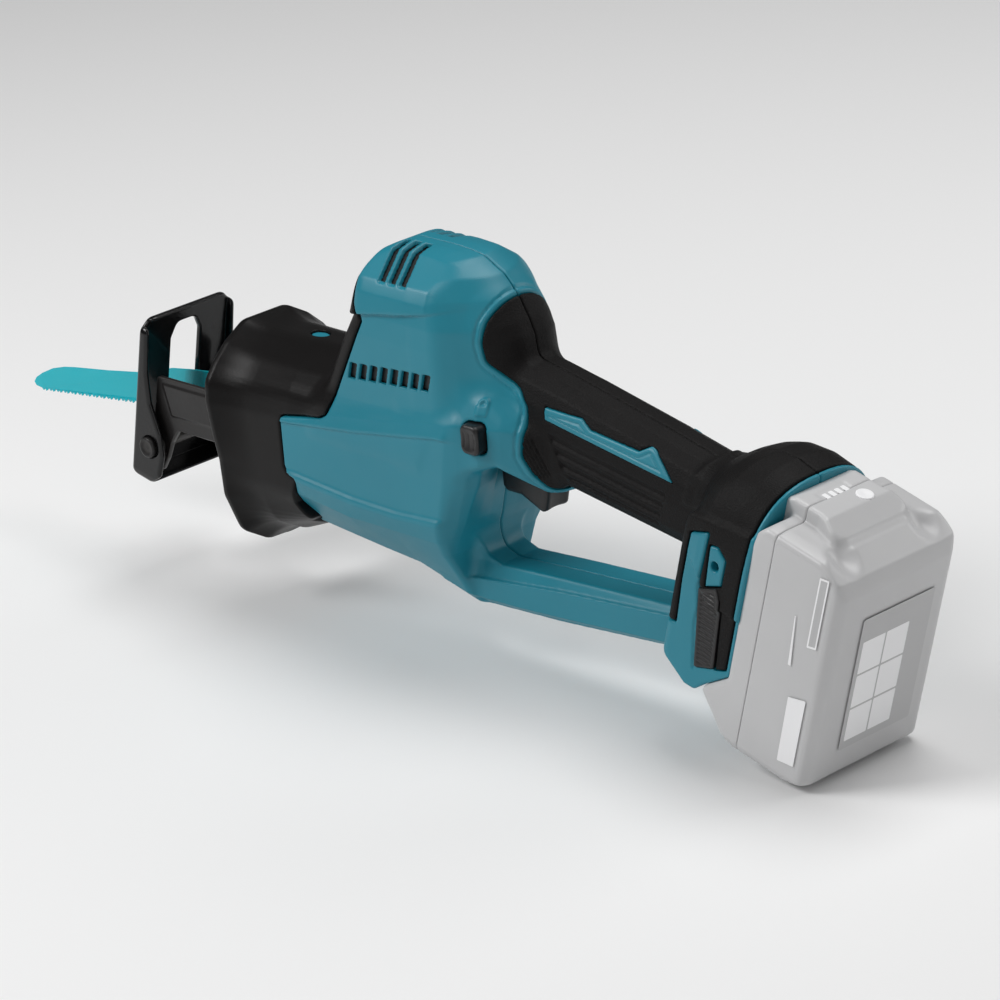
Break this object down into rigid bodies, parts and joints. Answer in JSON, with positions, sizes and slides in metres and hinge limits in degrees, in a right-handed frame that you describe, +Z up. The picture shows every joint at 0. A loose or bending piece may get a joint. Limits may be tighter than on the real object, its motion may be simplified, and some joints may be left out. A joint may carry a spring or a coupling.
{
  "type": "reciprocating saw",
  "caption": "Cordless reciprocating saw with a closed D handle, upright motor housing, rubber nose, tilting shoe, straight blade and slide-on battery pack.",
  "frame": {"origin": "middle of the bounding box footprint, at the lowest point of the battery", "axes": "+X from the blade to the battery, along the stroke; +Z up; +Y completes the frame, so the side with the gauge button is +Y"},
  "size_m": [0.5624, 0.0796, 0.1903],
  "materials": {
    "teal_plastic": "moulded, fine grain",
    "soft_grip": "overmoulded elastomer, fine leather grain",
    "control_plastic": "smooth black",
    "shoe_black": "gloss black coating",
    "gunmetal": "dark phosphated steel",
    "blade_paint": "turquoise paint",
    "battery_plastic": "light grey",
    "steel": "ground",
    "gear_metal": "die cast",
    "bush_bronze": "sintered",
    "circuit_board": "potted board",
    "cell_can": "sleeved can"
  },
  "bodies": {
    "body": {"housing_left": "teal_plastic", "housing_right": "teal_plastic", "grip_inlay_left": "teal_plastic", "grip_inlay_right": "teal_plastic", "grip_left": "soft_grip", "grip_right": "soft_grip", "foot_pad_left": "soft_grip", "foot_pad_right": "soft_grip", "nose_bumper": "soft_grip", "switch_unit": "control_plastic", "shoe_bracket": "gunmetal", "shoe_pivot_pin": "gunmetal", "crank_bearing": "steel", "motor_bearing_low": "steel", "motor_bearing_high": "steel", "trigger_spring": "steel", "motor_stator": "steel", "gear_case": "gear_metal", "gear_cover": "gear_metal", "shaft_bush_front": "bush_bronze", "shaft_bush_rear": "bush_bronze", "terminal_block": "bush_bronze", "controller_board": "circuit_board"},
    "rotor": {"motor_rotor": "steel", "motor_pinion": "steel", "cooling_fan": "control_plastic"},
    "crank": {"crank_gear": "steel", "crank_pin": "steel", "crank_roller": "bush_bronze"},
    "stroke": {"stroke_shaft": "steel", "blade_clamp_pin": "steel", "blade": "blade_paint"},
    "clamp_collar": {"blade_clamp_collar": "steel"},
    "shoe": {"shoe": "shoe_black"},
    "trigger": {"trigger": "control_plastic"},
    "lock_button": {"lock_button": "control_plastic"},
    "battery": {"battery_lower_case": "battery_plastic", "battery_upper_case": "battery_plastic", "battery_board": "circuit_board", "battery_cell_1": "cell_can", "battery_cell_2": "cell_can", "battery_cell_3": "cell_can", "battery_cell_4": "cell_can", "battery_cell_5": "cell_can", "battery_cell_6": "cell_can", "battery_cell_7": "cell_can", "battery_cell_8": "cell_can", "battery_cell_9": "cell_can", "battery_cell_10": "cell_can"},
    "latch_button": {"battery_latch_button": "control_plastic"},
    "gauge_button": {"gauge_button": "battery_plastic"}
  },
  "joints": [
    {"name": "crank_spin", "type": "hinge", "parent": "body", "child": "crank", "pos_m": [-0.00471, 0, 0.10933], "axis": [0, 0, 1], "continuous": true},
    {"name": "motor_spin", "type": "hinge", "parent": "body", "child": "rotor", "pos_m": [0.02528, 0, 0.15233], "axis": [0, 0, 1], "continuous": true},
    {"name": "blade_stroke", "type": "slide", "parent": "body", "child": "stroke", "axis": [1, 0, 0], "range_m": [-0.01, 0.01]},
    {"name": "blade_clamp_twist", "type": "hinge", "parent": "stroke", "child": "clamp_collar", "pos_m": [-0.11171, 0, 0.08633], "axis": [1, 0, 0], "range_deg": [0, 50], "stiffness_Nm_per_rad": 0.05},
    {"name": "shoe_tilt", "type": "hinge", "parent": "body", "child": "shoe", "pos_m": [-0.16371, 0, 0.06333], "axis": [0, 1, 0], "range_deg": [-24, 2]},
    {"name": "trigger_pull", "type": "hinge", "parent": "body", "child": "trigger", "pos_m": [0.05529, 0, 0.09633], "axis": [0, -1, 0], "range_deg": [0, 7], "stiffness_Nm_per_rad": 1, "deforming": ["trigger_spring"]},
    {"name": "lock_push", "type": "slide", "parent": "body", "child": "lock_button", "axis": [0, 1, 0], "range_m": [0, 0.005]},
    {"name": "battery_slide", "type": "slide", "parent": "body", "child": "battery", "axis": [-0.2773, 0, -0.9608], "range_m": [0, 0.1]},
    {"name": "latch_press", "type": "slide", "parent": "battery", "child": "latch_button", "axis": [0.9608, 0, -0.2773], "range_m": [0, 0.004], "stiffness_N_per_m": 800},
    {"name": "gauge_press", "type": "slide", "parent": "battery", "child": "gauge_button", "axis": [-0.2773, 0, -0.9608], "range_m": [0, 0.001], "stiffness_N_per_m": 600}
  ],
  "couplings": [
    {"joint": "motor_spin", "follows": "crank_spin", "ratio": -5}
  ]
}
